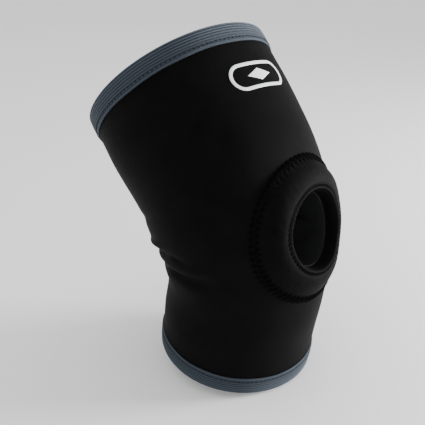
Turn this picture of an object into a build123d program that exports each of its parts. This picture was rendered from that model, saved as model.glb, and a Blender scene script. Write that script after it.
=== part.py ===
"""Open-patella knee brace: a pull-on neoprene sleeve in its worn, half-bent shape.

Row frame: the origin is the centre of the wearer's knee, +Z is up, -Y is the way the kneecap
faces and X runs across the leg. Lengths are millimetres and angles are degrees.

The sleeve follows a centreline: a straight thigh length, an arc round the back of the knee and a
straight shin length. A place on it is its distance s from the knee centre, positive up the thigh.
"""

import os
from functools import cache
from math import cos, degrees, radians, sin

from build123d import *

# --- Driving dimensions ------------------------------------------------------------------------

THIGH_LEAN = 40.5  # the thigh leans back from vertical by this much
SHIN_LEAN = 9.5  # the shin runs down and back by this much
BEND_LENGTH = 104.0  # length of the centreline's arc, half of it above the knee
THIGH_END = 121.0  # knee centre to the thigh cuff's rim, along the centreline
SHIN_END = -111.0  # knee centre to the shin cuff's rim

THIGH_RADIUS = 73.0  # outer radius of the neoprene in the round thigh cuff
SHIN_RADIUS = 62.0
CUFF_LENGTH = 15.0  # width of the binding tape that shows
ROUND_LENGTH = 30.0  # length of sleeve at each cuff that is a true cylinder

PANEL_THICKNESS = 3.2  # neoprene foam with its outer face fabric
LINING_THICKNESS = 0.8  # brushed inner lining
TAPE_THICKNESS = 0.8
TURNED_THICKNESS = 1.4  # the tape's inner leg, with its edge turned under
THREAD_HEIGHT = 0.6

HOLE_HALF_WIDTH = 23.5
HOLE_HALF_HEIGHT = 27.0
HOLE_ACROSS = 3.0  # the sleeve sits turned a little on the leg, so the hole is off to one side
HOLE_UP = -3.5
PATCH_MARGIN = 25.0  # width of the neoprene ring sewn round the kneecap hole
PATCH_THICKNESS = 2.0
PAD_THICKNESS = 4.0
PAD_INSET = 6.0  # flat sewing allowance between the pad and the patch's outer edge
PAD_HOLE_INSET = 4.0  # the pad stops this far short of the hole
STITCH_WIDTH = 3.0

SEAM_HALF_WIDTH = 3.0  # flatlock seam down the back
SEAM_END_GAP = 0.5  # the seam's thread stops this far short of each binding
BADGE_LENGTH = 50.0
BADGE_HEIGHT = 20.0
BADGE_STROKE = 3.0
BADGE_THICKNESS = 0.3
BADGE_PLACE = 78.0  # s of the badge's middle
BADGE_ACROSS = 4.0  # its middle's distance to the same side as the hole's
LABEL_WIDTH = 24.0
LABEL_LENGTH = 18.0

# Each row is (s, half width, half depth) of one oval section between the two round cuffs.
OVAL_SECTIONS = [
    (SHIN_END + ROUND_LENGTH, SHIN_RADIUS, SHIN_RADIUS),
    (-50.0, 58.6, 63.2),
    (-25.0, 62.0, 66.8),
    (0.0, 67.6, 69.4),
    (27.0, 69.2, 72.0),
    (54.0, 70.2, 72.4),
    (THIGH_END - ROUND_LENGTH, THIGH_RADIUS, THIGH_RADIUS),
]

# The sleeve is cut into a thigh, a knee and a shin zone by two slanted planes. Each is given by
# the s at which it meets the front of the leg and the s at which it meets the back.
THIGH_SPLIT = (62.0, 85.0)
SHIN_SPLIT = (-62.0, -78.0)

# --- Derived geometry --------------------------------------------------------------------------

WALL = PANEL_THICKNESS + LINING_THICKNESS
BEND_RADIUS = BEND_LENGTH / radians(THIGH_LEAN + SHIN_LEAN)
KNEE_LEAN = (THIGH_LEAN - SHIN_LEAN) / 2
REACH = 400.0  # longer than the brace, for cutting tools
FRONT_DEPTH = 20.0  # a plane this far behind the knee centre has all of the front wall before it


def along(lean):
    """Unit vector up the leg where it leans back by this much."""
    return Vector(0, sin(radians(lean)), cos(radians(lean)))


def forward(lean):
    """Unit vector out of the front of the leg where it leans back by this much."""
    return Vector(0, -cos(radians(lean)), sin(radians(lean)))


def lean_at(s):
    """Lean of the centreline at s."""
    half = BEND_LENGTH / 2
    return KNEE_LEAN + degrees(min(max(s, -half), half) / BEND_RADIUS)


def centre_at(s):
    """Point of the centreline at s."""
    half = BEND_LENGTH / 2
    on_arc = min(max(s, -half), half)
    arc_centre = forward(KNEE_LEAN) * -BEND_RADIUS
    return arc_centre + forward(lean_at(s)) * BEND_RADIUS + along(lean_at(s)) * (s - on_arc)


def station(s):
    """Plane square to the leg at s. Its x axis points to the back of the leg."""
    return Plane(origin=centre_at(s), x_dir=forward(lean_at(s)) * -1, z_dir=along(lean_at(s)))


def split_plane(front_s, back_s, radius):
    """Plane across the leg that meets its front at front_s and its back at back_s."""
    front_point = centre_at(front_s) + forward(lean_at(front_s)) * radius
    back_point = centre_at(back_s) - forward(lean_at(back_s)) * radius
    across = Vector(1, 0, 0)
    return Plane(origin=front_point, x_dir=across, z_dir=across.cross(back_point - front_point))


KNEE_FRONT = Plane(origin=(0, 0, 0), x_dir=(1, 0, 0), z_dir=forward(KNEE_LEAN))
KNEE_BACK = Plane(
    origin=forward(KNEE_LEAN) * -FRONT_DEPTH,
    x_dir=(1, 0, 0),
    z_dir=forward(KNEE_LEAN) * -1,
)
THIGH_PLANE = split_plane(*THIGH_SPLIT, THIGH_RADIUS)
SHIN_PLANE = split_plane(*SHIN_SPLIT, SHIN_RADIUS)


@cache
def leg_solid(grow):
    """The leg-shaped solid whose surface lies `grow` outside the sleeve's outer face."""
    thigh_edge = THIGH_END - TAPE_THICKNESS
    shin_edge = SHIN_END + TAPE_THICKNESS
    with BuildPart() as leg:
        for s, half_width, half_depth in OVAL_SECTIONS:
            with BuildSketch(station(s)):
                Ellipse(half_depth + grow, half_width + grow)
        loft()
        with BuildSketch(station(THIGH_END - ROUND_LENGTH)):
            Circle(THIGH_RADIUS + grow)
        extrude(amount=thigh_edge - (THIGH_END - ROUND_LENGTH))
        with BuildSketch(station(shin_edge)):
            Circle(SHIN_RADIUS + grow)
        extrude(amount=SHIN_END + ROUND_LENGTH - shin_edge)
    return leg.part


@cache
def layer(inner, outer):
    """The closed skin between two offsets from the sleeve's outer face."""
    with BuildPart() as skin:
        add(leg_solid(outer))
        add(leg_solid(inner), mode=Mode.SUBTRACT)
    return skin.part


def hole_outline(margin):
    """Half axes of the kneecap hole's outline grown by margin."""
    return HOLE_HALF_WIDTH + margin, HOLE_HALF_HEIGHT + margin


def knee_tool(margin, inner_margin=None):
    """A prism through the kneecap hole's outline grown by margin, less that grown by inner_margin."""
    with BuildPart() as tool:
        with BuildSketch(KNEE_FRONT):
            with Locations((HOLE_ACROSS, HOLE_UP)):
                Ellipse(*hole_outline(margin))
                if inner_margin is not None:
                    Ellipse(*hole_outline(inner_margin), mode=Mode.SUBTRACT)
        extrude(amount=REACH)
    return tool.part


def cut_to_zone(piece, zone):
    """The stretch of a full-length piece that belongs to one zone of the sleeve."""
    with BuildPart() as cut:
        add(piece)
        if zone == "thigh":
            split(bisect_by=THIGH_PLANE, keep=Keep.TOP)
        elif zone == "shin":
            split(bisect_by=SHIN_PLANE, keep=Keep.BOTTOM)
        else:
            split(bisect_by=THIGH_PLANE, keep=Keep.BOTTOM)
            split(bisect_by=SHIN_PLANE, keep=Keep.TOP)
    return cut.part


def write(part, name):
    """Labels a finished piece and writes its STEP file."""
    part.label = name
    export_step(part, f"parts/{name}.step")


# --- Sleeve: neoprene panel, lining and back seam, each in three zones --------------------------


def sleeve_layer(inner, outer):
    """One layer of the sleeve, full length, with the kneecap hole through it."""
    with BuildPart() as full:
        add(layer(inner, outer))
        add(knee_tool(0), mode=Mode.SUBTRACT)
    return full.part


def seam_thread(inner, outer):
    """Flatlock thread down the back, on one face of the sleeve, from binding to binding."""
    with BuildPart() as thread:
        add(layer(inner, outer))
        with BuildSketch(KNEE_BACK):
            Rectangle(2 * SEAM_HALF_WIDTH, REACH)
        extrude(amount=REACH, mode=Mode.INTERSECT)
        split(bisect_by=station(THIGH_END - CUFF_LENGTH - SEAM_END_GAP), keep=Keep.BOTTOM)
        split(bisect_by=station(SHIN_END + CUFF_LENGTH + SEAM_END_GAP), keep=Keep.TOP)
    return thread.part


def back_seam():
    """The thread on both faces of the sleeve, full length."""
    with BuildPart() as threads:
        add(seam_thread(0, THREAD_HEIGHT))
        add(seam_thread(-WALL - THREAD_HEIGHT, -WALL))
    return threads.part


def make_sleeve():
    layers = {
        "panel": sleeve_layer(-PANEL_THICKNESS, 0),
        "lining": sleeve_layer(-WALL, -PANEL_THICKNESS),
        "back_seam": back_seam(),
    }
    for piece, full in layers.items():
        for zone in ("thigh", "knee", "shin"):
            write(cut_to_zone(full, zone), f"{zone}_{piece}")


# --- Kneecap ring: foam pad under a sewn neoprene patch -----------------------------------------


def make_kneecap_ring():
    with BuildPart() as pad:
        add(layer(0, PAD_THICKNESS))
        add(knee_tool(PATCH_MARGIN - PAD_INSET, PAD_HOLE_INSET), mode=Mode.INTERSECT)
    write(pad.part, "patella_pad")

    dome_outer = PATCH_MARGIN - PAD_INSET + PATCH_THICKNESS
    dome_inner = PAD_HOLE_INSET - PATCH_THICKNESS
    dome_height = PAD_THICKNESS + PATCH_THICKNESS
    with BuildPart() as dome:
        add(layer(0, dome_height))
        add(knee_tool(dome_outer, dome_inner), mode=Mode.INTERSECT)
    with BuildPart() as patch:
        add(layer(0, PATCH_THICKNESS))
        add(knee_tool(PATCH_MARGIN, 0), mode=Mode.INTERSECT)
        add(dome.part)
        add(pad.part, mode=Mode.SUBTRACT)
    write(patch.part, "patella_patch")

    with BuildPart() as edge_stitching:
        add(layer(0, THREAD_HEIGHT))
        add(knee_tool(PATCH_MARGIN + STITCH_WIDTH, PATCH_MARGIN), mode=Mode.INTERSECT)
    write(edge_stitching.part, "patch_edge_stitching")

    with BuildPart() as hole_stitching:
        add(layer(dome_height, dome_height + THREAD_HEIGHT))
        add(knee_tool(PAD_HOLE_INSET + STITCH_WIDTH, PAD_HOLE_INSET), mode=Mode.INTERSECT)
    write(hole_stitching.part, "hole_edge_stitching")


# --- Cuffs: folded binding tape, its stitching and its bar tack ---------------------------------


def make_cuff(name, rim_s, direction, radius):
    """Binding tape folded over a cuff's rim. direction is 1 up the leg and -1 down it."""
    outside = radius + TAPE_THICKNESS
    inside = radius - WALL - TURNED_THICKNESS
    rim = station(rim_s)
    inward = Plane(origin=rim.origin, x_dir=rim.x_dir, z_dir=rim.z_dir * -direction)

    with BuildPart() as binding:
        with BuildSketch(inward):
            Circle(outside)
            Circle(inside, mode=Mode.SUBTRACT)
        extrude(amount=CUFF_LENGTH)
        with BuildSketch(inward.offset(TAPE_THICKNESS)):
            Circle(radius)
            Circle(radius - WALL, mode=Mode.SUBTRACT)
        extrude(amount=CUFF_LENGTH, mode=Mode.SUBTRACT)
        rim_edges = binding.edges().group_by(Axis(rim.origin, rim.z_dir * direction))[-1]
        fillet(rim_edges, TAPE_THICKNESS * 0.8)
    write(binding.part, f"{name}_binding")

    stitch_from_edge = 2.0
    with BuildPart() as stitching:
        with BuildSketch(inward.offset(CUFF_LENGTH - stitch_from_edge)):
            Circle(outside + THREAD_HEIGHT)
            Circle(outside, mode=Mode.SUBTRACT)
        extrude(amount=THREAD_HEIGHT)
    write(stitching.part, f"{name}_binding_stitching")

    with BuildPart() as bartack:
        with BuildSketch(inward.offset(TAPE_THICKNESS * 2)):
            Circle(outside + THREAD_HEIGHT)
            Circle(outside, mode=Mode.SUBTRACT)
            with Locations((outside, 0)):
                Rectangle(2 * THREAD_HEIGHT * 2, 2.4, mode=Mode.INTERSECT)
        extrude(amount=CUFF_LENGTH - stitch_from_edge - TAPE_THICKNESS * 4)
    write(bartack.part, f"{name}_binding_bartack")


# --- Badge and care label -----------------------------------------------------------------------


def make_badge():
    """Blank transfer-film badge on the front of the thigh: an open lozenge round a diamond."""
    place = station(BADGE_PLACE)
    middle = place.origin + Vector(BADGE_ACROSS, 0, 0)
    face = Plane(origin=middle, x_dir=(1, 0, 0), z_dir=forward(THIGH_LEAN))
    inner_height = BADGE_HEIGHT - 2 * BADGE_STROKE
    with BuildPart() as badge:
        with BuildSketch(face):
            SlotOverall(BADGE_LENGTH, BADGE_HEIGHT)
            SlotOverall(BADGE_LENGTH - 2 * BADGE_STROKE, inner_height, mode=Mode.SUBTRACT)
            with BuildLine():
                Polyline((-8, 0), (0, -4), (8, 0), (0, 4), close=True)
            make_face()
        extrude(amount=REACH)
        add(layer(0, BADGE_THICKNESS), mode=Mode.INTERSECT)
    write(badge.part, "front_badge")


def make_label():
    """Blank care label caught in the back of the thigh binding, inside the sleeve."""
    top = station(THIGH_END - CUFF_LENGTH - LABEL_LENGTH)
    with BuildPart() as label:
        with BuildSketch(top):
            with Locations((REACH / 2, SEAM_HALF_WIDTH + 2 + LABEL_WIDTH / 2)):
                Rectangle(REACH, LABEL_WIDTH)
        extrude(amount=LABEL_LENGTH)
        add(layer(-WALL - 0.5, -WALL), mode=Mode.INTERSECT)
    write(label.part, "care_label")


os.makedirs("parts", exist_ok=True)
make_sleeve()
make_kneecap_ring()
make_cuff("thigh", THIGH_END, 1, THIGH_RADIUS)
make_cuff("shin", SHIN_END, -1, SHIN_RADIUS)
make_badge()
make_label()
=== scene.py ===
"""Open-patella neoprene knee brace: the soft, sewn pieces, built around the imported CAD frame.

Shapes are worked out in millimetres in the part's frame (origin at the knee centre, +Z up, -Y the
way the kneecap faces) and turned into metres when a mesh is made.
"""

import math

import bpy
import numpy as np
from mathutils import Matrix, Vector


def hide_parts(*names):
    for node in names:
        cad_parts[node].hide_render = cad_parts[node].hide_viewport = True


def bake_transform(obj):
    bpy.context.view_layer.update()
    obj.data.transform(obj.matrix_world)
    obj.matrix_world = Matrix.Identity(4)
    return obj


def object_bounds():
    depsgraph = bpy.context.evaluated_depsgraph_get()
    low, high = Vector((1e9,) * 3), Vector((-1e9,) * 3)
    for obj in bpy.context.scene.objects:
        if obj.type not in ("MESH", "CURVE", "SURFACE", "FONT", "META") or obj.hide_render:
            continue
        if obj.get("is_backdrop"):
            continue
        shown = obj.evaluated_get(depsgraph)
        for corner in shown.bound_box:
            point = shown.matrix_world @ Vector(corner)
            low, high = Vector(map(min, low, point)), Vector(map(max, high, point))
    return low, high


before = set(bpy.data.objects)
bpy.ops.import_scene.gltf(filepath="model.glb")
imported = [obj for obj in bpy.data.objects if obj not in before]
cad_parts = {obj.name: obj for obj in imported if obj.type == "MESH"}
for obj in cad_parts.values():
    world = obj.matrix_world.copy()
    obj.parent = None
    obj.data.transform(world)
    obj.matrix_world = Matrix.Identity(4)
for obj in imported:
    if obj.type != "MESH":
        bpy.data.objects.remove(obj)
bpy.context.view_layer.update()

MM = 0.001
MM_PER_RADIAN = 70.0  # the sleeve's mean radius, which lays angles round it out as lengths

# --- Sleeve dimensions, as in the CAD model (mm, degrees) ----------------------------------------
THIGH_LEAN, SHIN_LEAN = 40.5, 9.5
BEND_LENGTH = 104.0
THIGH_END, SHIN_END = 121.0, -111.0  # the cuffs' rims, along the centreline
THIGH_RADIUS, SHIN_RADIUS = 73.0, 62.0
CUFF = 15.0
PANEL, LINING, TAPE = 3.2, 0.8, 0.8
TURNED = 1.4  # the tape's inner leg, with its edge turned under
WALL = PANEL + LINING
SECTIONS = (  # place along the centreline, half width, half depth
    (-112.0, 62.0, 62.0), (-81.0, 62.0, 62.0), (-50.0, 58.6, 63.2), (-25.0, 62.0, 66.8),
    (0.0, 67.6, 69.4), (27.0, 69.2, 72.0), (54.0, 70.2, 72.4), (91.0, 73.0, 73.0), (122.0, 73.0, 73.0),
)
HOLE_HALF_WIDTH, HOLE_HALF_HEIGHT = 23.5, 27.0
HOLE_ACROSS, HOLE_UP = 3.0, -3.5  # the sleeve sits turned a little on the leg
RING = 25.0  # width of the neoprene ring round the kneecap hole

BEND_RADIUS = BEND_LENGTH / math.radians(THIGH_LEAN + SHIN_LEAN)
KNEE_LEAN = (THIGH_LEAN - SHIN_LEAN) / 2
HALF_BEND = BEND_LENGTH / 2


# --- The sleeve's surface ------------------------------------------------------------------------
def along(lean):
    a = np.radians(lean)
    return np.stack([0 * a, np.sin(a), np.cos(a)], -1)


def forward(lean):
    a = np.radians(lean)
    return np.stack([0 * a, -np.cos(a), np.sin(a)], -1)


def lean_at(s):
    return KNEE_LEAN + np.degrees(np.clip(s, -HALF_BEND, HALF_BEND) / BEND_RADIUS)


def centre_at(s):
    on_arc = np.clip(s, -HALF_BEND, HALF_BEND)
    arc_centre = -BEND_RADIUS * forward(np.array(KNEE_LEAN))
    lean = lean_at(s)
    return arc_centre + BEND_RADIUS * forward(lean) + along(lean) * (s - on_arc)[..., None]


def smooth_table(s, column):
    """Cubic through the section table, with slopes from its neighbours."""
    xs = np.array([row[0] for row in SECTIONS])
    ys = np.array([row[column] for row in SECTIONS])
    slopes = np.gradient(ys, xs)
    slopes[[0, 1, -2, -1]] = 0.0
    k = np.clip(np.searchsorted(xs, s) - 1, 0, len(xs) - 2)
    h = xs[k + 1] - xs[k]
    t = np.clip((s - xs[k]) / h, 0, 1)
    return (ys[k] * (1 + 2 * t) * (1 - t) ** 2 + slopes[k] * h * t * (1 - t) ** 2
            + ys[k + 1] * t * t * (3 - 2 * t) - slopes[k + 1] * h * t * t * (1 - t))


def smoothstep(x, lo, hi):
    t = np.clip((x - lo) / (hi - lo), 0, 1)
    return t * t * (3 - 2 * t)


def bump(x, centre, width):
    return np.exp(-((x - centre) / width) ** 2)


def folds(s, theta):
    """How far the fabric stands proud of the plain sleeve, mostly in the folds behind the knee."""
    side = np.abs(np.degrees(theta))  # 0 at the front, 180 at the back
    back = smoothstep(side, 98, 116)
    depth = 1 - 0.55 * smoothstep(side, 129, 156)  # the folds flatten out towards the back seam
    notch_at = -7.2 - 4.0 * (1 - smoothstep(side, 82, 99)) + 0.9 * np.sin(theta * 3)
    ridge_at = -16.3 + 6.0 * (1 - smoothstep(side, 50, 76)) + 1.5 * back
    valley_at = -25.0 + 4.0 * (1 - smoothstep(side, 62, 88)) + 0.8 * np.sin(theta * 2.3)
    out = -depth * (2.0 * smoothstep(side, 78, 96) + 2.4 * back) * bump(s, notch_at, 2.4 + 1.4 * back)
    out += (1.7 - 0.7 * back) * smoothstep(side, 46, 78) * bump(s, ridge_at, 4.2)
    out -= (3.6 - 3.0 * back) * smoothstep(side, 56, 84) * bump(s, valley_at, 4.6)
    out += 0.9 * bump(s, 58, 26) + 1.1 * (1 - smoothstep(side, 40, 110)) * bump(s, -56, 16)
    out += 1.7 * depth * back * bump(s, 2.5, 4.0)
    out += 1.4 * back * bump(s, -36, 9)
    out -= 0.9 * smoothstep(side, 60, 120) * bump(s, 34 + 6 * np.cos(theta * 2), 6)
    ripple = np.sin(s * 0.083 + 1.7 * np.sin(theta * 2 + 0.6)) + 0.7 * np.sin(s * 0.041 - theta * 3 + 1.1)
    free = smoothstep(s, SHIN_END + CUFF, SHIN_END + CUFF + 20)
    free = free * (1 - smoothstep(s, THIGH_END - CUFF - 20, THIGH_END - CUFF))
    return out + 0.34 * ripple * free * smoothstep(side, 20, 70)


def skin(s, theta, off=0.0):
    """Points on the sleeve, off millimetres outside its outer face, and the outward normals."""
    s, theta = np.broadcast_arrays(np.asarray(s, float), np.asarray(theta, float))
    half_width, half_depth = smooth_table(s, 1), smooth_table(s, 2)
    lean = lean_at(s)
    front = forward(lean)
    across = np.array([1.0, 0, 0])
    normal = front * (np.cos(theta) / half_depth)[..., None]
    normal = normal + across * (np.sin(theta) / half_width)[..., None]
    normal /= np.linalg.norm(normal, axis=-1, keepdims=True)
    base = centre_at(s) + front * (half_depth * np.cos(theta))[..., None]
    base = base + across * (half_width * np.sin(theta))[..., None]
    return base + normal * (folds(s, theta) + off)[..., None], normal


def front_place(x, v):
    """The (s, theta) of the sleeve's front that lies behind x across and v up the kneecap's face."""
    x, v = np.broadcast_arrays(np.asarray(x, float), np.asarray(v, float))
    up = along(np.array(KNEE_LEAN))
    s = v * 0.6
    for _ in range(25):
        theta = np.arcsin(np.clip(x / smooth_table(s, 1), -0.97, 0.97))
        depth = smooth_table(s, 2) * np.cos(theta)
        here = (centre_at(s) + forward(lean_at(s)) * depth[..., None]) @ up
        s = s + (v - here) * BEND_RADIUS / (BEND_RADIUS + depth)
    return s, theta


def ring_place(margin, turn):
    """(s, theta) at a distance outside the hole's edge, at an angle round it."""
    x = HOLE_ACROSS + (HOLE_HALF_WIDTH + 0.95 * margin) * np.cos(turn)
    v = HOLE_UP + (HOLE_HALF_HEIGHT + 1.01 * margin) * np.sin(turn)
    return front_place(x, v)


# --- Meshes --------------------------------------------------------------------------------------
def make_object(name, points, faces, material, uvs=None, smooth=True, normals=None):
    mesh = bpy.data.meshes.new(name)
    mesh.from_pydata((np.asarray(points) * MM).tolist(), [], [tuple(int(i) for i in f) for f in faces])
    mesh.update()
    if uvs is not None:
        layer = mesh.uv_layers.new(name="UVMap")
        index = np.zeros(len(mesh.loops), np.int64)
        mesh.loops.foreach_get("vertex_index", index)
        layer.data.foreach_set("uv", np.asarray(uvs, np.float32)[index].ravel())
    mesh.polygons.foreach_set("use_smooth", np.full(len(mesh.polygons), smooth))
    mesh.materials.append(material)
    if normals is not None:
        mesh.normals_split_custom_set_from_vertices(np.asarray(normals, float).tolist())
    obj = bpy.data.objects.new(name, mesh)
    bpy.context.scene.collection.objects.link(obj)
    return obj


def tube(points, normals, radius, sides=7):
    """A thread along points: vertices, faces and uvs (length, turn)."""
    points, normals = np.asarray(points, float), np.asarray(normals, float)
    n = len(points)
    tangent = np.gradient(points, axis=0)
    tangent /= np.linalg.norm(tangent, axis=1, keepdims=True)
    side = np.cross(tangent, normals)
    side /= np.linalg.norm(side, axis=1, keepdims=True)
    up = np.cross(side, tangent)
    turn = np.linspace(0, 2 * math.pi, sides, endpoint=False)
    radius = np.broadcast_to(radius, (n,))[:, None, None]
    sideways, upwards = np.cos(turn)[None, :, None], np.sin(turn)[None, :, None]
    ring = (side[:, None] * sideways + up[:, None] * upwards) * radius
    verts = (points[:, None] + ring).reshape(-1, 3)
    length = np.concatenate([[0], np.cumsum(np.linalg.norm(np.diff(points, axis=0), axis=1))])
    uvs = np.stack(np.broadcast_arrays(length[:, None], turn[None] * 0.5), -1).reshape(-1, 2)
    faces = []
    for i in range(n - 1):
        a, b = i * sides, (i + 1) * sides
        faces += [(a + k, a + (k + 1) % sides, b + (k + 1) % sides, b + k) for k in range(sides)]
    faces += [tuple(range(sides))[::-1], tuple((n - 1) * sides + k for k in range(sides))]
    return verts, faces, uvs


def merge(parts):
    """Several (vertices, faces, uvs) as one."""
    verts, faces, uvs, base = [], [], [], 0
    for v, f, u in parts:
        verts.append(v)
        uvs.append(u)
        faces += [tuple(i + base for i in face) for face in f]
        base += len(v)
    return np.concatenate(verts), faces, np.concatenate(uvs)


def grid_faces(rows, cols, closed_cols=False, closed_rows=False, flip=False):
    faces = []
    for i in range(rows if closed_rows else rows - 1):
        for j in range(cols if closed_cols else cols - 1):
            a, b = i * cols + j, i * cols + (j + 1) % cols
            c, d = ((i + 1) % rows) * cols + (j + 1) % cols, ((i + 1) % rows) * cols + j
            faces.append((d, c, b, a) if flip else (a, b, c, d))
    return faces


# --- Materials -----------------------------------------------------------------------------------
class Nodes:
    """Short calls for building one material's nodes."""

    def __init__(self, name, colour, roughness, **inputs):
        self.material = bpy.data.materials.new(name)
        self.material.use_nodes = True
        self.tree = self.material.node_tree
        self.shader = self.tree.nodes["Principled BSDF"]
        self.shader.inputs["Base Color"].default_value = (*colour, 1)
        self.shader.inputs["Roughness"].default_value = roughness
        for key, value in inputs.items():
            self.shader.inputs[key.replace("_", " ")].default_value = value

    def add(self, kind, **settings):
        node = self.tree.nodes.new(kind)
        for key, value in settings.items():
            if key in node.inputs:
                node.inputs[key].default_value = value
            else:
                setattr(node, key, value)
        return node

    def link(self, source, target):
        self.tree.links.new(source, target)

    def uv(self, scale):
        coord = self.add("ShaderNodeTexCoord")
        mapping = self.add("ShaderNodeMapping", Scale=scale)
        self.link(coord.outputs["UV"], mapping.inputs["Vector"])
        return mapping.outputs["Vector"]

    def place(self):
        return self.add("ShaderNodeTexCoord").outputs["Object"]

    def noise(self, vector, scale, detail=3.0, rough=0.55):
        node = self.add("ShaderNodeTexNoise", Scale=scale, Detail=detail, Roughness=rough)
        self.link(vector, node.inputs["Vector"])
        return node.outputs["Fac"]

    def wave(self, vector, scale, direction="X", distortion=0.0, profile="SIN"):
        node = self.add("ShaderNodeTexWave", Scale=scale, Distortion=distortion)
        node.bands_direction = direction
        node.wave_profile = profile
        self.link(vector, node.inputs["Vector"])
        return node.outputs["Fac"]

    def math(self, operation, a, b):
        node = self.add("ShaderNodeMath", operation=operation)
        for socket, value in zip(node.inputs, (a, b)):
            if isinstance(value, (int, float)):
                socket.default_value = value
            else:
                self.link(value, socket)
        return node.outputs[0]

    def ramp(self, fac, low, high, at=(0.0, 1.0)):
        node = self.add("ShaderNodeValToRGB")
        node.color_ramp.elements[0].position, node.color_ramp.elements[1].position = at
        node.color_ramp.elements[0].color = (*low, 1)
        node.color_ramp.elements[1].color = (*high, 1)
        self.link(fac, node.inputs["Fac"])
        return node.outputs["Color"]

    def mix(self, fac, a, b, blend="MIX"):
        node = self.add("ShaderNodeMix", data_type="RGBA", blend_type=blend)
        for socket, value in ((node.inputs[0], fac), (node.inputs[6], a), (node.inputs[7], b)):
            if isinstance(value, (int, float)):
                socket.default_value = value
            elif isinstance(value, tuple):
                socket.default_value = (*value, 1)
            else:
                self.link(value, socket)
        return node.outputs[2]

    def colour(self, socket):
        self.link(socket, self.shader.inputs["Base Color"])

    def bumps(self, *layers):
        """Each layer is (height socket, distance in metres, strength)."""
        normal = None
        for height, distance, strength in layers:
            node = self.add("ShaderNodeBump", Distance=distance, Strength=strength)
            self.link(height, node.inputs["Height"])
            if normal is not None:
                self.link(normal, node.inputs["Normal"])
            normal = node.outputs["Normal"]
        self.link(normal, self.shader.inputs["Normal"])


def knit(m, pitch):
    """Height of a fine jersey knit: columns of small V stitches. The UV map is in millimetres."""
    vector = m.uv((1.0 / pitch, 1.0 / pitch, 1))
    columns = m.wave(vector, 0.5, "X")
    tilt = m.math("MULTIPLY", columns, 2.2)
    rows = m.add("ShaderNodeSeparateXYZ")
    m.link(vector, rows.inputs[0])
    phase = m.math("MULTIPLY", m.math("ADD", rows.outputs["Y"], tilt), 4.4)
    loops = m.math("ABSOLUTE", m.math("SINE", phase, 0.0), 0.0)
    return m.math("MULTIPLY", m.math("ADD", loops, columns), 0.5)


def neoprene_material():
    m = Nodes("neoprene_jersey", (0.002, 0.002, 0.0022), 0.58, Specular_IOR_Level=0.025)
    place = m.place()
    height = knit(m, 0.85)
    mottled = m.noise(place, 60, 4)
    base = m.ramp(mottled, (0.0016, 0.0016, 0.0017), (0.0030, 0.0030, 0.0031), (0.3, 0.7))
    flecks = m.math("GREATER_THAN", m.noise(place, 1400, 2, 0.7), 0.70)
    base = m.mix(m.math("MULTIPLY", flecks, 0.45), base, (0.006, 0.006, 0.0064))
    # Painted highlight on the knit's raised loops, with painted shade between them: the knit's height
    # lightens the colour.
    m.colour(m.mix(m.math("MULTIPLY", height, 0.35), base, (0.0048, 0.0048, 0.005)))
    m.bumps((m.noise(place, 220, 3), 0.0004, 0.18), (height, 0.00018, 0.55))
    return m.material


def lining_material():
    m = Nodes("brushed_lining", (0.014, 0.015, 0.016), 0.95, Specular_IOR_Level=0.08,
              Sheen_Weight=0.08, Sheen_Roughness=0.6)
    place = m.place()
    nap = m.noise(place, 900, 5, 0.7)
    cloud = m.noise(place, 45, 3)
    m.colour(m.mix(0.5, m.ramp(nap, (0.006, 0.0062, 0.007), (0.02, 0.021, 0.023), (0.3, 0.75)),
                   m.ramp(cloud, (0.008, 0.0085, 0.0095), (0.016, 0.017, 0.018))))
    m.bumps((nap, 0.0005, 0.6), (knit(m, 1.3), 0.0003, 0.4))
    return m.material


def tape_material():
    m = Nodes("ribbed_binding", (0.05, 0.068, 0.088), 0.65, Specular_IOR_Level=0.2,
              Sheen_Weight=0.05, Sheen_Roughness=0.35, Sheen_Tint=(0.85, 0.92, 1, 1))
    vector = m.uv((1, 1, 1))
    ribs = m.wave(vector, 0.157, "Y")
    weft = m.wave(vector, 0.55, "X", 0.6)
    wear = m.noise(m.place(), 150, 4)
    # Painted shade in the grooves between the ribs and a painted highlight on their crests: the ribs' height
    # sets the colour.
    body = m.ramp(ribs, (0.009, 0.013, 0.019), (0.043, 0.059, 0.079), (0.2, 0.8))
    body = m.mix(m.math("MULTIPLY", weft, 0.28), body, (0.055, 0.072, 0.093))
    m.colour(m.mix(m.math("MULTIPLY", wear, 0.3), body, (0.021, 0.028, 0.038)))
    m.bumps((ribs, 0.0004, 0.55), (weft, 0.0002, 0.6), (m.noise(m.place(), 1500, 2), 0.0001, 0.4))
    return m.material


def thread_material(name, dark, light):
    m = Nodes(name, light, 0.6, Specular_IOR_Level=0.04)
    vector = m.uv((1, 1, 1))
    split = m.add("ShaderNodeSeparateXYZ")
    m.link(vector, split.inputs[0])
    twist = m.math("SINE", m.math("ADD", m.math("MULTIPLY", split.outputs["X"], 9.0),
                                  m.math("MULTIPLY", split.outputs["Y"], 4.0)), 0.0)
    twist = m.math("ADD", m.math("MULTIPLY", twist, 0.5), 0.5)
    fuzz = m.noise(m.place(), 2500, 3)
    # Painted shade and highlight: the colour runs from dark in the twist's grooves to light on its crests,
    # following the twist's height.
    m.colour(m.mix(m.math("MULTIPLY", fuzz, 0.3), m.ramp(twist, dark, light), dark))
    m.bumps((twist, 0.00015, 0.7), (fuzz, 0.00008, 0.5))
    return m.material


def foam_material():
    m = Nodes("closed_cell_foam", (0.03, 0.03, 0.032), 0.9, Specular_IOR_Level=0.2)
    cells = m.add("ShaderNodeTexVoronoi", Scale=1800.0)
    m.link(m.place(), cells.inputs["Vector"])
    m.colour(m.ramp(cells.outputs["Distance"], (0.016, 0.016, 0.018), (0.042, 0.042, 0.046)))
    m.bumps((cells.outputs["Distance"], 0.0003, 0.6))
    return m.material


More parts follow.
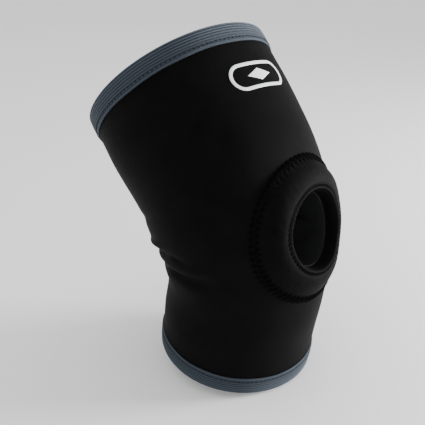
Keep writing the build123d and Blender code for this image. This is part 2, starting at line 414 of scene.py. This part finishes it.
def film_material():
    m = Nodes("transfer_film", (0.78, 0.79, 0.8), 0.42, Specular_IOR_Level=0.45, Coat_Weight=0.08)
    place = m.place()
    cloud = m.noise(place, 240, 4)
    cracks = m.noise(place, 900, 5, 0.7)
    white = m.ramp(cloud, (0.70, 0.71, 0.72), (0.84, 0.85, 0.86))
    m.colour(m.mix(m.math("MULTIPLY", cracks, 0.18), white, (0.5, 0.51, 0.53)))
    m.bumps((cracks, 0.00012, 0.35), (knit(m, 0.85), 0.0001, 0.3))
    return m.material


def label_material():
    m = Nodes("woven_satin", (0.6, 0.6, 0.58), 0.38, Anisotropic=0.4, Sheen_Weight=0.2)
    warp = m.wave(m.uv((1, 1, 1)), 1.1, "X")
    weft = m.wave(m.uv((1, 1, 1)), 0.8, "Y")
    weave = m.ramp(m.math("MULTIPLY", warp, weft), (0.5, 0.5, 0.48), (0.7, 0.7, 0.68))
    m.colour(m.mix(m.math("MULTIPLY", m.noise(m.place(), 300, 3), 0.4), weave, (0.45, 0.44, 0.41)))
    m.bumps((warp, 0.0001, 0.5), (weft, 0.0001, 0.4))
    return m.material


NEOPRENE, LINING_KNIT, RIBBED_TAPE = neoprene_material(), lining_material(), tape_material()
BLACK_THREAD = thread_material("black_thread", (0.0004, 0.0004, 0.0004), (0.0014, 0.0014, 0.0014))
GREY_THREAD = thread_material("grey_thread", (0.006, 0.008, 0.011), (0.028, 0.036, 0.044))
FOAM, FILM, SATIN = foam_material(), film_material(), label_material()


def bend_upper(piece):
    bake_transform(piece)


def bend_lower(piece):
    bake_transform(piece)


# --- Sleeve --------------------------------------------------------------------------------------
COLUMNS = 192
RING_COLUMNS = 24  # columns each side of the front that give way to rings round the hole
FINE, RING_ROWS = 1.0, 36
HOLE_RINGS = 12


def sleeve_net():
    """The sleeve's outer face as (s, theta) per vertex and quads, with rings round the hole."""
    thigh_rows = np.linspace(RING_ROWS * FINE, THIGH_END - TAPE - 0.1, 34)[1:]
    shin_rows = np.linspace(SHIN_END + TAPE + 0.1, -RING_ROWS * FINE, 31)[:-1]
    rows = np.concatenate([shin_rows, np.arange(-RING_ROWS, RING_ROWS + 1) * FINE, thigh_rows])
    first = len(shin_rows)
    last = first + 2 * RING_ROWS
    thetas = (np.arange(COLUMNS) - COLUMNS // 2) * 2 * math.pi / COLUMNS
    left, right = COLUMNS // 2 - RING_COLUMNS, COLUMNS // 2 + RING_COLUMNS
    places, index, faces = [], {}, []

    def node(i, j):
        j %= COLUMNS
        if (i, j) not in index:
            index[i, j] = len(places)
            places.append((rows[i], thetas[j]))
        return index[i, j]

    for i in range(len(rows) - 1):
        for j in range(COLUMNS):
            if first <= i < last and left <= j < right:
                continue
            faces.append((node(i, j), node(i, j + 1), node(i + 1, j + 1), node(i + 1, j)))
    border = [(i, right) for i in range(first, last)] + [(last, j) for j in range(right, left, -1)]
    border += [(i, left) for i in range(last, first, -1)] + [(first, j) for j in range(left, right)]
    outer = [node(i, j) for i, j in border]
    outer_place = np.array([places[k] for k in outer])
    edge_s, edge_theta = front_place(np.array([0.0, HOLE_HALF_WIDTH]), np.array([HOLE_HALF_HEIGHT, 0.0]))
    angle = np.arctan2(outer_place[:, 0] / edge_s[0], outer_place[:, 1] / edge_theta[1])
    hole_s, hole_theta = ring_place(0.0, angle)
    hole_s[np.abs(outer_place[:, 0]) < 1e-6] = 0.0
    previous = outer
    for k in range(1, HOLE_RINGS + 1):
        t = 1 - (1 - k / HOLE_RINGS) ** 1.5
        ring = []
        for (s, theta), hs, ht in zip(outer_place, hole_s, hole_theta):
            ring.append(len(places))
            places.append((s + (hs - s) * t, theta + (ht - theta) * t))
        n = len(ring)
        faces += [(previous[a], previous[(a + 1) % n], ring[(a + 1) % n], ring[a]) for a in range(n)]
        previous = ring
    return np.array(places), faces


def vertex_normals(points, faces):
    faces = np.array(faces)
    a, b, c, d = (points[faces[:, k]] for k in range(4))
    face_normal = np.cross(c - a, d - b)
    normals = np.zeros_like(points)
    for k in range(4):
        np.add.at(normals, faces[:, k], face_normal)
    return normals / np.linalg.norm(normals, axis=1, keepdims=True)


def shell(name, points, normals, uvs, faces, outer, inner, material):
    """A closed skin between two depths below a surface, with the surface's own shading normals."""
    used = np.unique(np.array(faces))
    renumber = {int(k): n for n, k in enumerate(used)}
    faces = [tuple(renumber[int(k)] for k in f) for f in faces]
    points, normals, uvs = points[used], normals[used], uvs[used]
    n = len(used)
    edges = {}
    for f in faces:
        for a, b in zip(f, f[1:] + f[:1]):
            edges[a, b] = True
    rims = [(a, b) for a, b in edges if (b, a) not in edges]
    verts = np.concatenate([points - normals * outer, points - normals * inner])
    all_faces = list(faces) + [tuple(n + k for k in f[::-1]) for f in faces]
    all_faces += [(b, a, n + a, n + b) for a, b in rims]
    obj = make_object(name, verts, all_faces, material, np.concatenate([uvs, uvs]))
    mesh = obj.data
    corner = np.zeros(len(mesh.loops), np.int64)
    mesh.loops.foreach_get("vertex_index", corner)
    corner_normals = np.concatenate([normals, -normals])[corner]
    first_rim = 4 * 2 * len(faces)
    for k, (a, b) in enumerate(rims):
        p = verts[[b, a, n + a, n + b]]
        flat = np.cross(p[2] - p[0], p[3] - p[1])
        corner_normals[first_rim + 4 * k:first_rim + 4 * k + 4] = flat / np.linalg.norm(flat)
    mesh.normals_split_custom_set(corner_normals.tolist())
    return obj


net, net_faces = sleeve_net()
net_points, _ = skin(net[:, 0], net[:, 1])
net_normals = vertex_normals(net_points, net_faces)
net_uvs = np.stack([net[:, 1] * MM_PER_RADIAN, net[:, 0]], -1)
middle = np.array([net[list(f), 0].mean() for f in net_faces])
upper_faces = [f for f, s in zip(net_faces, middle) if s > 0]
lower_faces = [f for f, s in zip(net_faces, middle) if s < 0]

NET = (net_points, net_normals, net_uvs)
LINING_TOP = PANEL + 0.02  # a hair under the panel, so that the two skins don't coincide
panel_upper = shell("panel_upper", *NET, upper_faces, 0.0, PANEL, NEOPRENE)
panel_lower = shell("panel_lower", *NET, lower_faces, 0.0, PANEL, NEOPRENE)
lining_upper = shell("lining_upper", *NET, upper_faces, LINING_TOP, WALL, LINING_KNIT)
lining_lower = shell("lining_lower", *NET, lower_faces, LINING_TOP, WALL, LINING_KNIT)
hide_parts("thigh_panel", "knee_panel")
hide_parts("shin_panel")
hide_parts("thigh_lining", "knee_lining")
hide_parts("shin_lining")
for piece, slot in ((panel_upper, "neoprene_jersey"), (lining_upper, "lining_knit")):
    bend_upper(piece)
for piece, slot in ((panel_lower, "neoprene_jersey"), (lining_lower, "lining_knit")):
    bend_lower(piece)


# --- Kneecap ring: foam pad under the sewn patch -------------------------------------------------
AROUND = 360
EDGE_COUNT = 70  # zigzags round the patch's outer edge
HOLE_COUNT = 60
EDGE_ROWS = (RING - 5.4, RING + 1.6)  # margins of the needle holes at each side of a zigzag
HOLE_ROWS = (1.7, 4.3)
RELIEF_MARGINS, RELIEF_COLUMNS = np.linspace(0, RING, 21), 420
PUFF_LIMIT = 0.7  # the most that the simulated fabric stands proud (mm)
relief = np.zeros((len(RELIEF_MARGINS), RELIEF_COLUMNS))


PUSH_TURN, PUSH_HEIGHT = 0.9, 1.8  # where, and how far, the kneecap pushes the ring out


def ring_height(margin, turn):
    """Top of the patch over the sleeve: rolled at the hole, full over the foam, flat at its seam."""
    rolled = np.sqrt(1 - (1 - np.clip((margin + 0.05) / 1.4, 0, 1)) ** 2)
    slope = (1 - np.clip((margin - 3.0) / 19.0, 0, 1) ** 2) ** 1.3
    wander = 0.22 * np.sin(3 * turn + 0.7) + 0.15 * np.sin(7 * turn + 2.1)
    full = 1.5 + (5.2 + wander) * slope + 0.5 * bump(margin, 8.0, 5.0)
    full = full + PUSH_HEIGHT * np.exp((np.cos(turn - PUSH_TURN) - 1) / 0.2) * bump(margin, 12.5, 8.0)
    pucker = 0.2 * np.cos(turn * EDGE_COUNT) * bump(margin, 21.0, 2.2)
    pucker = pucker + (0.16 * np.cos(turn * HOLE_COUNT) - 0.5) * bump(margin, 3.0, 1.5)
    edge = 1 - smoothstep(margin, RING - 1.6, RING + 0.4)
    return (full + pucker) * rolled * (0.3 + 0.7 * edge) + relief_at(margin, turn)


def relief_at(margin, turn):
    """Simulated relief between its grid's points."""
    row = np.clip(np.asarray(margin) / RING, 0, 1) * (len(RELIEF_MARGINS) - 1)
    column = np.mod(np.asarray(turn) / (2 * math.pi), 1) * RELIEF_COLUMNS
    i, j = np.minimum(row.astype(int), len(RELIEF_MARGINS) - 2), column.astype(int) % RELIEF_COLUMNS
    a, b, k = row - i, column - np.floor(column), (j + 1) % RELIEF_COLUMNS
    return ((relief[i, j] * (1 - b) + relief[i, k] * b) * (1 - a)
            + (relief[i + 1, j] * (1 - b) + relief[i + 1, k] * b) * a)


def relief_row(margin):
    return int(np.argmin(np.abs(RELIEF_MARGINS - margin)))


def simulate_relief():
    """Cloth simulation of the patch's fabric, puffed by the foam and held by its two zigzags."""
    turn = np.arange(RELIEF_COLUMNS) / RELIEF_COLUMNS * 2 * math.pi
    M, T = np.meshgrid(RELIEF_MARGINS, turn, indexing="ij")
    place_s, place_theta = ring_place(M, T)
    start, normals = skin(place_s, place_theta, ring_height(M, T))
    faces = grid_faces(len(RELIEF_MARGINS), RELIEF_COLUMNS, closed_cols=True, flip=True)
    fabric = make_object("sewn_fabric", start.reshape(-1, 3), faces, NEOPRENE)
    needle = np.zeros(M.shape, bool)
    per_edge, per_hole = RELIEF_COLUMNS // EDGE_COUNT, RELIEF_COLUMNS // HOLE_COUNT
    needle[relief_row(EDGE_ROWS[0]), ::per_edge] = True
    needle[relief_row(HOLE_ROWS[1]), ::per_hole] = True
    needle[:relief_row(HOLE_ROWS[0]) + 1] = True
    needle[relief_row(RING - 1.2):] = True
    held = fabric.vertex_groups.new(name="needle_holes")
    held.add(np.flatnonzero(needle.ravel()).tolist(), 1.0, "REPLACE")
    cloth = fabric.modifiers.new("cloth", "CLOTH")
    cloth.settings.quality = 5
    cloth.settings.mass = 0.2
    cloth.settings.bending_stiffness = 1.5
    cloth.settings.shrink_min = -0.02
    cloth.settings.use_pressure = True
    cloth.settings.uniform_pressure_force = 4.0
    cloth.settings.vertex_group_mass = held.name
    cloth.settings.effector_weights.gravity = 0.0
    for moment in range(1, 21):
        bpy.context.scene.frame_set(moment)
    settled = fabric.evaluated_get(bpy.context.evaluated_depsgraph_get()).data
    points = np.zeros(len(settled.vertices) * 3)
    settled.vertices.foreach_get("co", points)
    moved = points.reshape(start.shape) / MM - start
    mesh = fabric.data
    bpy.data.objects.remove(fabric)
    bpy.data.meshes.remove(mesh)
    bpy.context.scene.frame_set(1)
    swell = (moved * normals).sum(-1)
    return PUFF_LIMIT * np.tanh(swell / PUFF_LIMIT) * (0.35 + 0.65 * smoothstep(M, 6, 16))


relief = simulate_relief()


def ring_halves(name, margins, top, bottom, material):
    """A closed ring round the hole, cut in an upper and a lower half that meet without a mark."""
    turn = np.linspace(0, 2 * math.pi, AROUND, endpoint=False)
    M, T = np.meshgrid(margins, turn, indexing="ij")
    s, theta = ring_place(M, T)
    upper, _ = skin(s, theta, top(M, T))
    lower, _ = skin(s, theta, bottom(M, T))
    rows = 2 * len(margins)
    points = np.concatenate([upper, lower[::-1]]).reshape(-1, 3)
    uv = np.stack([theta * MM_PER_RADIAN, s], -1)
    uvs = np.concatenate([uv, uv[::-1]]).reshape(-1, 2)
    normals = vertex_normals(points, grid_faces(rows, AROUND, closed_cols=True, closed_rows=True, flip=True))
    halves = []
    for first, side in ((0, "upper"), (AROUND // 2, "lower")):
        columns = (first + np.arange(AROUND // 2 + 1)) % AROUND
        used = (np.arange(rows)[:, None] * AROUND + columns[None]).ravel()
        faces = grid_faces(rows, len(columns), closed_rows=True, flip=True)
        start = tuple(i * len(columns) for i in range(rows))
        faces += [start, tuple(k + len(columns) - 1 for k in start)[::-1]]
        halves.append(make_object(name + "_" + side, points[used], faces, material,
                                  uvs[used], normals=normals[used]))
    return halves


def zigzag_halves(name, inner, outer, count, radius, height, material, top):
    """A zigzag of thread round the hole, in two halves, dipping into the fabric at each needle hole."""
    per_leg = 7
    halves = []
    for first, side in ((0, "upper"), (count, "lower")):
        k = first * per_leg + np.arange(count * per_leg + 1)
        leg, part = k // per_leg, (k % per_leg) / per_leg
        across = np.where(leg % 2 == 0, part, 1 - part)
        turn = (leg + part) * math.pi / count
        sway = 0.12 * np.sin(leg * 12.9898)
        margin = inner + (outer - inner) * across + sway * np.sin(part * math.pi)
        arch = np.sin(part * math.pi)
        lift = height * arch ** 0.6 - radius * 1.4 * (1 - arch ** 0.5)
        s, theta = ring_place(margin, turn)
        points, normals = skin(s, theta, top(margin, turn) + lift)
        verts, faces, uvs = tube(points, normals, radius, sides=7)
        halves.append(make_object(name + "_" + side, verts, faces, material, uvs))
    return halves


def seam_top(margin, turn):
    """A smooth step down from the patch's edge to the sleeve, for thread that crosses it."""
    step = 1 - smoothstep(margin, RING - 1.6, RING + 0.9)
    return ring_height(np.minimum(margin, RING - 2.0), turn) * step + 0.1


PATCH_THICKNESS = 2.0
rolled_edge, sewn_edge = [0.0, 0.1, 0.3, 0.6, 1.0, 1.5], RING - np.array([1.1, 0.6, 0.2])
patch_margins = np.concatenate([rolled_edge, np.linspace(2.1, RING - 1.7, 38), sewn_edge])
foam_margins = np.linspace(2.2, 19.8, 20)


def patch_underside(margin, turn):
    return np.maximum(ring_height(margin, turn) - PATCH_THICKNESS, 0.06)


def foam_top(margin, turn):
    return np.maximum(ring_height(margin, turn) - PATCH_THICKNESS - 0.15, 0.25)


def foam_underside(margin, turn):
    return 0.08 + 0 * margin


ring_pieces = (
    ("patella_patch", "neoprene_jersey", 0.7,
     ring_halves("kneecap_patch", patch_margins, ring_height, patch_underside, NEOPRENE)),
    ("patella_pad", "pad_foam", 1.0,
     ring_halves("kneecap_foam", foam_margins, foam_top, foam_underside, FOAM)),
    ("patch_edge_stitching", "black_thread", None,
     zigzag_halves("patch_edge_zigzag", *EDGE_ROWS, EDGE_COUNT, 0.36, 0.3, BLACK_THREAD, seam_top)),
    ("hole_edge_stitching", "black_thread", None,
     zigzag_halves("hole_edge_zigzag", *HOLE_ROWS, HOLE_COUNT, 0.34, 0.3, BLACK_THREAD, ring_height)),
)
for node, slot, fill, halves in ring_pieces:
    for piece, bend in zip(halves, (bend_upper, bend_lower)):
        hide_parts(node)
        bend(piece)


# --- Back seam -----------------------------------------------------------------------------------
def seam_piece(name, start, stop, nodes):
    """Flatlock seam down the back: two rows of needle thread joined by crossing loops, both faces."""
    parts = []
    for off, face in ((0.0, 1), (-WALL, -1)):
        step = 1.9
        count = int(abs(stop - start) / step)
        places = start + (stop - start) * np.arange(count * 8 + 1) / (count * 8)
        phase = np.arange(count * 8 + 1) / 8 * 2 * math.pi
        swing = 2.5 * np.clip(1.35 * np.sin(phase), -1, 1)
        for sign in (1, -1):
            theta = math.pi + sign * swing / MM_PER_RADIAN
            lift = off + face * (0.28 + 0.14 * sign * np.cos(phase))
            points, normals = skin(places, theta, lift)
            parts.append(tube(points, normals, 0.27, sides=6))
        for edge in (-2.5, 2.5):
            lift = off + face * (0.30 + 0.22 * np.abs(np.sin(phase / 2)))
            points, normals = skin(places, math.pi + edge / MM_PER_RADIAN + 0 * places, lift)
            parts.append(tube(points, normals, 0.30, sides=6))
    verts, faces, uvs = merge(parts)
    piece = make_object(name, verts, faces, BLACK_THREAD, uvs)
    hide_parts(*nodes)
    return piece


bend_upper(seam_piece("back_seam_upper", 0.0, THIGH_END - CUFF - 0.8, ("thigh_back_seam", "knee_back_seam")))
bend_lower(seam_piece("back_seam_lower", 0.0, SHIN_END + CUFF + 0.8, ("shin_back_seam",)))


# --- Cuffs ---------------------------------------------------------------------------------------
RIBS = 7
STITCH_LINE = 2.9  # the stitching's distance from the tape's body-side edge
CUFF_COLUMNS = 288
STITCH_PITCH = 3.4
BARTACK_WIDTH = 2.6


def cuff_radius(end):
    return THIGH_RADIUS if end > 0 else SHIN_RADIUS


def tape_profile():
    """Tape folded over the rim: (distance from the rim towards the body, radius offset) round it."""
    steps = 66
    d = np.linspace(CUFF, 1.0, steps)
    rib = 0.2 * np.cos((CUFF - d) / (CUFF / (RIBS + 0.5)) * 2 * math.pi)
    groove = -0.16 * bump(d, CUFF - STITCH_LINE, 0.8)
    swell = 0.35 * np.sin(np.clip((CUFF - d) / CUFF, 0, 1) * math.pi)
    edge = -0.45 * np.exp(-(CUFF - d) / 0.35)
    out_leg = np.stack([d, TAPE + rib + groove + swell + edge], -1)
    bend = np.linspace(0, math.pi, 16)[1:-1]
    half = (WALL + TAPE + TURNED) / 2
    centre = TAPE - half
    fold = np.stack([1.0 - 0.95 * np.sin(bend), centre + half * np.cos(bend)], -1)
    d_in = np.linspace(1.0, CUFF, 40)
    in_leg = np.stack([d_in, -WALL - TURNED + 0.05 * np.cos(d_in * 2.6)], -1)
    inside_back = np.stack([np.linspace(CUFF, 1.6, 14), np.full(14, -WALL - 0.03)], -1)
    outside_back = np.stack([np.linspace(1.6, CUFF, 14), np.full(14, 0.03)], -1)
    return np.concatenate([out_leg, fold, in_leg, inside_back, outside_back])


def cuff_point(end, d, theta, off):
    """d millimetres in from a cuff's rim, off outside the neoprene's outer face."""
    s = THIGH_END - d if end > 0 else SHIN_END + d
    return skin(s, theta, off)


def binding(name, end, node):
    profile = tape_profile()
    theta = np.linspace(-math.pi, math.pi, CUFF_COLUMNS, endpoint=False)
    D, T = np.meshgrid(profile[:, 0], theta, indexing="ij")
    O, _ = np.meshgrid(profile[:, 1], theta, indexing="ij")
    outer = smoothstep(O, -1.0, 0.4)
    waves = 0.22 * np.sin(T * 5 + 0.8) + 0.16 * np.sin(T * 11 + 2.0)
    pucker = 0.07 * np.sin(T * (150 if end > 0 else 126)) * bump(D, CUFF - STITCH_LINE, 1.6)
    O = O + outer * pucker
    D = D + waves * smoothstep(D, 5, CUFF) * outer * 0.7
    points, _ = cuff_point(end, D, T, O)
    rows = len(profile)
    length = np.concatenate([[0], np.cumsum(np.linalg.norm(np.diff(profile, axis=0), axis=1))])
    uvs = np.stack([T * THIGH_RADIUS, np.broadcast_to(length[:, None], T.shape)], -1).reshape(-1, 2)
    faces = grid_faces(rows, CUFF_COLUMNS, closed_cols=True, closed_rows=True, flip=end < 0)
    piece = make_object(name, points.reshape(-1, 3), faces, RIBBED_TAPE, uvs)
    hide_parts(node)
    return piece


def row_of_stitches(name, end, node):
    """Dashes of thread round a cuff, outside and inside, each dipping into the tape at its ends."""
    count = round(2 * math.pi * cuff_radius(end) / STITCH_PITCH)
    parts = []
    for off, face in ((TAPE + 0.12, 1), (-WALL - TURNED, -1)):
        for k in range(count):
            t = np.linspace(0.2, 0.8, 7)
            theta = (k + t) / count * 2 * math.pi - math.pi
            lift = off + face * (0.34 * np.sin((t - 0.2) / 0.6 * math.pi) ** 0.5 - 0.1)
            wobble = 0.1 * math.sin(k * 2.399)
            points, normals = cuff_point(end, CUFF - STITCH_LINE + wobble + 0 * t, theta, lift)
            parts.append(tube(points, normals, 0.33, sides=6))
    verts, faces, uvs = merge(parts)
    piece = make_object(name, verts, faces, GREY_THREAD, uvs)
    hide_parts(node)
    return piece


def bartack(name, end, node):
    """A dense bar of satin stitches across the tape, at the back where its ends lap."""
    count, per_leg = 22, 5
    k = np.arange(count * per_leg + 1)
    leg, part = k // per_leg, (k % per_leg) / per_leg
    across = np.where(leg % 2 == 0, part, 1 - part) - 0.5
    d = 2.6 + 9.0 * k / len(k)
    theta = math.pi + across * BARTACK_WIDTH / MM_PER_RADIAN
    lift = TAPE + 0.5 + 0.25 * np.cos(across * math.pi)
    points, normals = cuff_point(end, d, theta, lift)
    verts, faces, uvs = tube(points, normals, 0.24, sides=6)
    piece = make_object(name, verts, faces, BLACK_THREAD, uvs)
    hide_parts(node)
    return piece


for end, label, bend in ((1, "thigh", bend_upper), (-1, "shin", bend_lower)):
    bend(binding(label + "_cuff_tape", end, label + "_binding"))
    bend(row_of_stitches(label + "_cuff_stitches", end, label + "_binding_stitching"))
    bend(bartack(label + "_cuff_bartack", end, label + "_binding_bartack"))


# --- Badge and care label ------------------------------------------------------------------------
BADGE_PLACE, BADGE_ACROSS = 79.5, 2.8
BADGE_LENGTH, BADGE_HEIGHT, BADGE_STROKE = 50.0, 20.0, 2.4
BADGE_RADIUS = 72.5  # of the sleeve under the badge


def film(outline_out, outline_in, thickness=0.32):
    """A thin raised strip of film between two outlines given as (across, up) points."""
    section = ((0.0, 0.02), (0.0, 0.2), (0.06, thickness), (0.35, thickness),
               (0.65, thickness), (0.94, thickness), (1.0, 0.2), (1.0, 0.02))
    rows = []
    for t, h in section:
        flat = outline_out * (1 - t) + outline_in * t
        s, theta = BADGE_PLACE + flat[:, 1], (BADGE_ACROSS + flat[:, 0]) / BADGE_RADIUS
        rows.append(skin(s, theta, h)[0])
    n = len(outline_out)
    uvs = np.stack([np.tile(outline_out[:, 0], len(rows)), np.tile(outline_out[:, 1], len(rows))], -1)
    return np.concatenate(rows), grid_faces(len(rows), n, closed_cols=True, closed_rows=True), uvs


def stadium(length, height, count=240):
    """Two straight sides joined by half circles, walked at an even pace."""
    radius = height / 2
    straight = length - height
    walk = np.linspace(0, 2 * straight + math.pi * height, count, endpoint=False)
    points = []
    for w in walk:
        for half in (1, -1):
            if w <= straight:
                points.append((half * (w - straight / 2), half * radius))
                break
            w -= straight
            if w <= math.pi * radius:
                a = math.pi / 2 - w / radius
                x, y = straight / 2 + radius * math.cos(a), radius * math.sin(a)
                points.append((half * x, half * y))
                break
            w -= math.pi * radius
    return np.array(points)


def diamond(half_width, half_height, count=64):
    a = np.linspace(0, 2 * math.pi, count, endpoint=False)
    size = 1 / (np.abs(np.cos(a)) + np.abs(np.sin(a)))
    return np.stack([half_width * size * np.cos(a), half_height * size * np.sin(a)], -1)[::-1]


inner_size = (BADGE_LENGTH - 2 * BADGE_STROKE, BADGE_HEIGHT - 2 * BADGE_STROKE)
lozenge = film(stadium(BADGE_LENGTH, BADGE_HEIGHT), stadium(*inner_size))
mark = film(diamond(11.0, 4.6), diamond(0.08, 0.04))
verts, faces, uvs = merge([lozenge, mark])
badge = make_object("blank_badge", verts, faces, FILM, uvs)
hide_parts("front_badge")
bend_upper(badge)


def care_label():
    """Blank satin tab sewn inside the thigh cuff beside the back seam, a little curled."""
    cols, rows = 26, 20
    across = np.linspace(5.0, 29.0, cols)
    down = np.linspace(0.3, 17.6, rows)
    A, D = np.meshgrid(across, down, indexing="xy")
    curl = 0.35 + 0.9 * (D / 17.6) ** 2 + 0.3 * np.sin(A * 0.35) * (D / 17.6)
    s = THIGH_END - CUFF - D
    theta = math.pi - A / 69.0
    face_in, _ = skin(s, theta, -WALL - curl - 0.22)
    face_out, _ = skin(s, theta, -WALL - curl)
    verts = np.concatenate([face_in.reshape(-1, 3), face_out.reshape(-1, 3)])
    n = rows * cols
    faces = grid_faces(rows, cols, flip=True) + [tuple(n + k for k in f) for f in grid_faces(rows, cols)]
    rim = list(range(cols)) + [k * cols + cols - 1 for k in range(1, rows)]
    rim += [(rows - 1) * cols + k for k in range(cols - 2, -1, -1)]
    rim += [k * cols for k in range(rows - 2, 0, -1)]
    faces += [(a, b, n + b, n + a) for a, b in zip(rim, rim[1:] + rim[:1])]
    uv = np.stack([A, D], -1).reshape(-1, 2)
    piece = make_object("blank_care_label", verts, faces, SATIN, np.concatenate([uv, uv]))
    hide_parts("care_label")
    return piece


bend_upper(care_label())


# --- Studio --------------------------------------------------------------------------------------
def studio():
    floor_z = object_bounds()[0].z - 0.002
    floor_mesh = bpy.data.meshes.new("floor")
    half = 6.0
    corners = [(x * half, y * half, floor_z) for x, y in ((-1, -1), (1, -1), (1, 1), (-1, 1))]
    floor_mesh.from_pydata(corners, [], [(0, 1, 2, 3)])
    floor = bpy.data.objects.new("floor", floor_mesh)
    bpy.context.scene.collection.objects.link(floor)
    paper = bpy.data.materials.new("paper")
    paper.use_nodes = True
    shader = paper.node_tree.nodes["Principled BSDF"]
    shader.inputs["Base Color"].default_value = (0.93, 0.93, 0.93, 1)
    shader.inputs["Roughness"].default_value = 0.9
    floor_mesh.materials.append(paper)
    floor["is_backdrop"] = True
    world = bpy.data.worlds.new("studio")
    world.use_nodes = True
    world.node_tree.nodes["Background"].inputs[0].default_value = (1, 1, 1, 1)
    world.node_tree.nodes["Background"].inputs[1].default_value = 1.1
    bpy.context.scene.world = world
    for name, place, size, power in (
        ("key", (0.95, -0.8, 0.12), 0.4, 44), ("top", (0.0, 0.4, 2.4), 3.0, 14),
    ):
        light = bpy.data.lights.new(name, "AREA")
        light.size = size
        light.energy = power
        lamp = bpy.data.objects.new(name, light)
        lamp.location = place
        lamp.rotation_euler = look(-np.array(place))
        bpy.context.scene.collection.objects.link(lamp)


def look(direction):
    """Euler angles that point an object's -Z along direction, with +Z of the world upwards."""
    x, y, z = direction
    flat = math.hypot(x, y)
    return (math.atan2(flat, -z), 0, math.atan2(-x, y))


AZIMUTH, ELEVATION, DISTANCE = -45.6, 24.4, 0.450
LENS = 49.55


def camera():
    a, e = math.radians(AZIMUTH), math.radians(ELEVATION)
    back = np.array([math.sin(a) * math.cos(e), -math.cos(a) * math.cos(e), math.sin(e)])
    data = bpy.data.cameras.new("camera")
    data.lens, data.sensor_width = LENS, 36.0
    data.shift_x, data.shift_y = -0.0697, 0.0233
    data.clip_start = 0.01
    obj = bpy.data.objects.new("camera", data)
    obj.location = back * DISTANCE
    obj.rotation_euler = look(-back)
    bpy.context.scene.collection.objects.link(obj)
    bpy.context.scene.camera = obj


studio()
camera()
